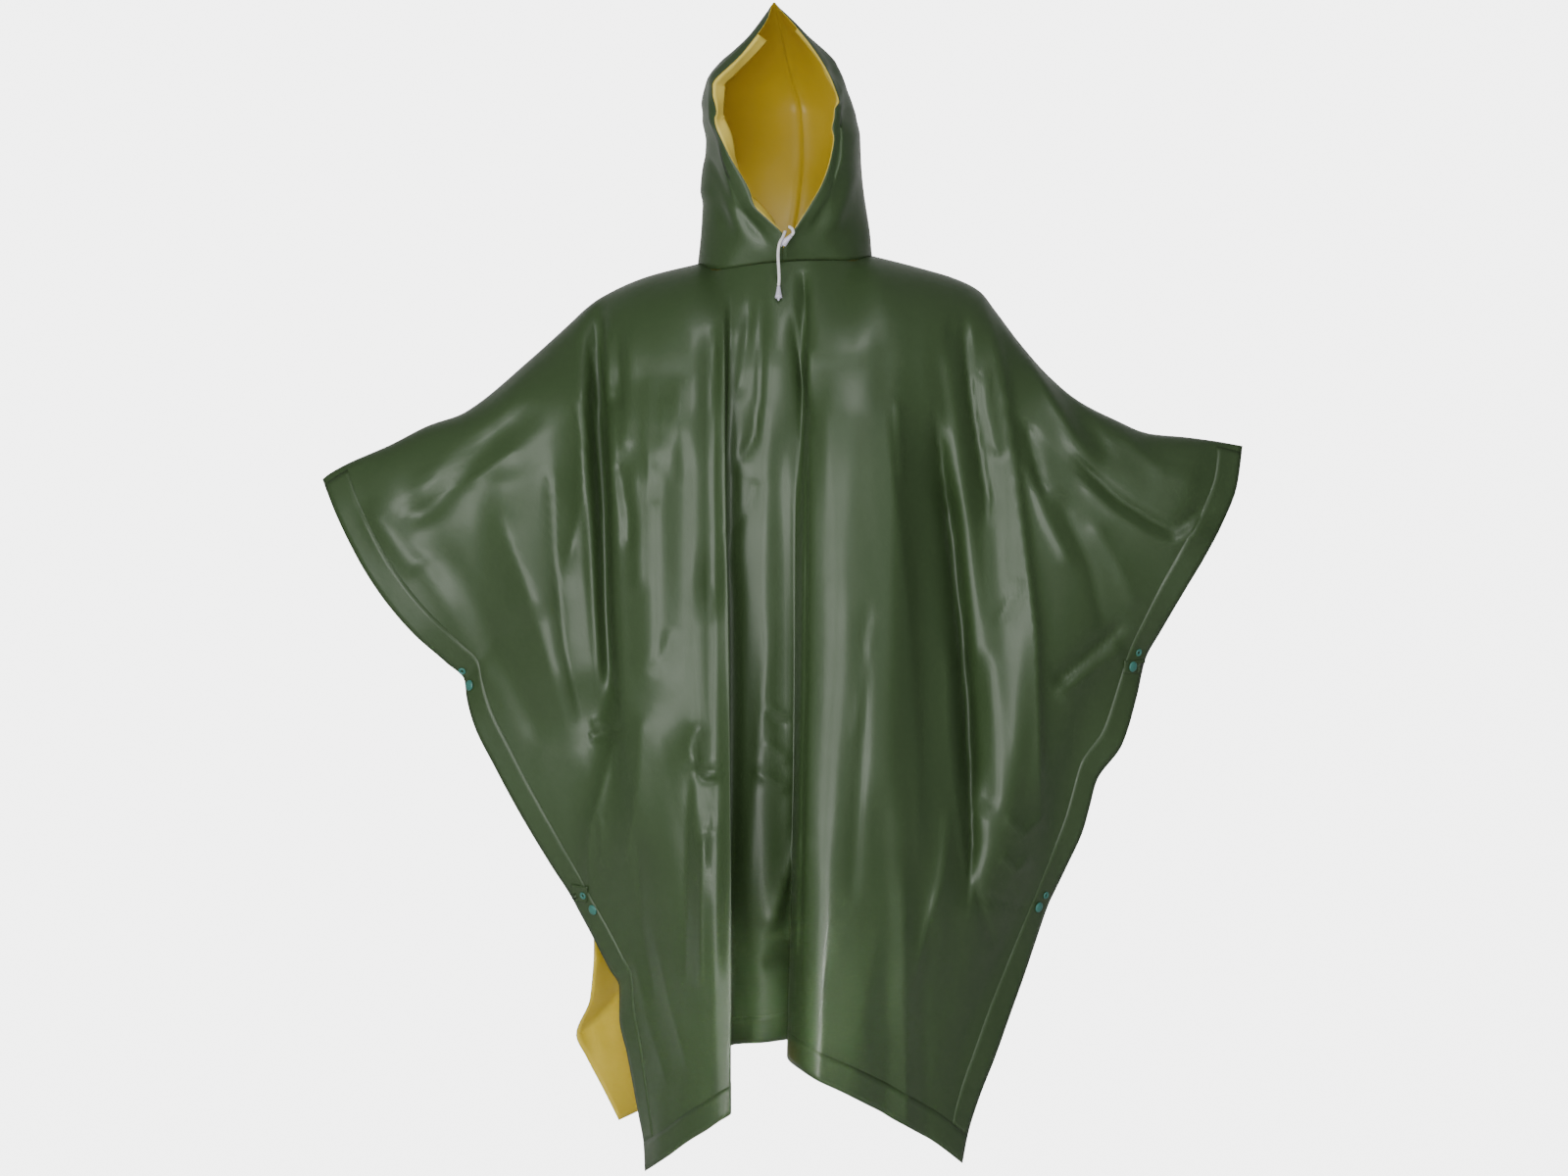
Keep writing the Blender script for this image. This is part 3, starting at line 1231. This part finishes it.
# Columns: place of cap, ring and back in the front view, then how far cap and ring are lifted
# by a patch below them.
PATCH_LIFT = 1.1
SNAPS = [
    ("upper_left", (479.4, 699.3), (471.6, 684.7), (487, 699), 0, 0),
    ("lower_left", (605.3, 928.2), (595.7, 913.5), (606, 928), 0, PATCH_LIFT),
    ("upper_right", (1155, 680), (1161.7, 665.8), (1152, 680), PATCH_LIFT, 0),
    ("lower_right", (1059.7, 925.6), (1067, 913.5), (1056, 925.5), 0, 0),
]
for name, cap, ring, behind, cap_lift, ring_lift in SNAPS:
    spot, normal = seat("front", *cap)
    snap_piece("cap_" + name, "snap_cap_" + name, spot, normal, CAP_PROFILE, SNAP_GAP + cap_lift)
    spot, normal = seat("front", *ring)
    snap_piece("ring_" + name, "snap_ring_" + name, spot, normal, RING_PROFILE, SNAP_GAP + ring_lift)
    spot, normal = seat("back", *behind)
    snap_piece("back_" + name, "snap_back_" + name, spot, normal, BACK_PROFILE, SNAP_GAP)

# Square patches of the same film are welded on the bands under two of the snaps.
PATCH_SEAT = 1.0
PATCH_WALL = 0.6
PATCHES = [
    ("lower_left", [(583, 902), (600, 905), (599, 921), (582, 919)]),
    ("upper_right", [(1147, 674), (1168, 673), (1168, 686), (1146, 687)]),
]
for name, corners in PATCHES:
    steps = np.linspace(0, 1, 9)
    a, b, c, d = [np.array(corner, float) for corner in corners]
    grid = []
    for t in steps:
        row = []
        for s in steps:
            place = (a * (1 - s) + b * s) * (1 - t) + (d * (1 - s) + c * s) * t
            spot, normal = seat("front", *place)
            row.append(spot + normal * PATCH_SEAT)
        grid.append(row)
    patch = sheet_mesh("patch_" + name, np.array(grid), 1, [GREEN])
    thicken(patch, PATCH_WALL, 0)
    fit(patch, "snap_patch_" + name)


# Sheets as they are cut: the body is one sheet of 1.32 m by 2.03 m, half of it on each side.
# A hood half is cut within 0.30 m by 0.40 m and has 0.11 m2.
for name in panels:
    film = bpy.data.objects[name + "_film"]

# Floor and backdrop are one pale sheet that curves up behind the poncho. To the camera alone
# it glows, so that it comes out near white without lighting the poncho.
PALE, pale_tree = new_material("backdrop_pale")
pale_film = node(
    pale_tree, "ShaderNodeBsdfPrincipled", {"Base Color": colour("#E4E4E2"), "Roughness": 0.9}
)
pale_glow = node(pale_tree, "ShaderNodeEmission", {"Color": colour("#FFFFFF"), "Strength": 7.0})
straight = node(pale_tree, "ShaderNodeLightPath").outputs["Is Camera Ray"]
share = node(pale_tree, "ShaderNodeMath", {0: straight, 1: 0.7}, operation="MULTIPLY")
pale_mix = node(
    pale_tree,
    "ShaderNodeMixShader",
    {0: share.outputs[0], 1: pale_film.outputs[0], 2: pale_glow.outputs[0]},
)
# The sheet has one side only: from behind the poncho is seen through it.
behind = node(pale_tree, "ShaderNodeNewGeometry").outputs["Backfacing"]
clear = node(pale_tree, "ShaderNodeBsdfTransparent")
one_sided = node(
    pale_tree,
    "ShaderNodeMixShader",
    {0: behind, 1: pale_mix.outputs[0], 2: clear.outputs[0]},
)
finish_material(pale_tree, one_sided.outputs[0])
FLOOR = -1452.0
WALL_FAR = 2600.0
BEND = 1400
SHEET_NEAR = -5200.0
SHEET_TOP = 5200.0
SHEET_HALF_WIDTH = 7000.0
arc = [(SHEET_NEAR, FLOOR)]
for degrees in range(0, 91, 6):
    turn = math.radians(degrees)
    arc.append((WALL_FAR - BEND + BEND * math.sin(turn), FLOOR + BEND * (1 - math.cos(turn))))
arc.append((WALL_FAR, SHEET_TOP))
backdrop = sheet_mesh(
    "backdrop",
    np.array([[(x, y, z) for x in (-SHEET_HALF_WIDTH, SHEET_HALF_WIDTH)] for y, z in arc]),
    -1,
    [PALE],
)
backdrop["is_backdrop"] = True


# Soft lights: key and front from the front left, a weak fill from the right, one high for the
# hood and shoulders, a narrow low one for the middle between the lobes, one for the backdrop.
def soft_light(name, place, aim, width, height, power, spread=180):
    """An area light in metres and watts; spread is in degrees."""
    data = bpy.data.lights.new(name, "AREA")
    data.shape = "RECTANGLE"
    data.size = width
    data.size_y = height
    data.energy = power
    data.spread = math.radians(spread)
    made = bpy.data.objects.new(name, data)
    made.location = place
    made.rotation_euler = (Vector(aim) - Vector(place)).to_track_quat("-Z", "Y").to_euler()
    bpy.context.scene.collection.objects.link(made)


soft_light("key", (-1.9, -3.0, -0.35), (0, 0, -0.6), 1.2, 1.5, 42)
soft_light("front", (-0.5, -4.0, -0.65), (0, 0, -0.6), 1.5, 1.5, 60)
soft_light("fill", (2.0, -3.0, 0.1), (0, 0, -0.5), 1.0, 1.8, 5)
soft_light("high", (0.3, -2.4, 1.7), (0, 0, 0.1), 0.9, 0.9, 26)
soft_light("low", (-0.05, -3.0, -0.97), (-0.03, 0, -0.93), 0.3, 0.2, 0.17, 6)
soft_light("wall", (0, 0.9, 0.3), (0, 2.6, 0.2), 5.0, 2.8, 40)

world = bpy.data.worlds.new("world")
world.use_nodes = True
world.node_tree.nodes.clear()
sky = node(world.node_tree, "ShaderNodeBackground", {"Color": colour("#FFFFFF"), "Strength": 0.17})
node(world.node_tree, "ShaderNodeOutputWorld", {"Surface": sky.outputs["Background"]})
bpy.context.scene.world = world

LOOK_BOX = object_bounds()


def plain_numbers(box):
    if isinstance(box, dict):
        return {key: plain_numbers(value) for key, value in box.items()}
    if isinstance(box, (int, float)):
        return float(box)
    return [plain_numbers(value) for value in box]


{"cad": plain_numbers(CAD_BOX), "look": plain_numbers(LOOK_BOX)}
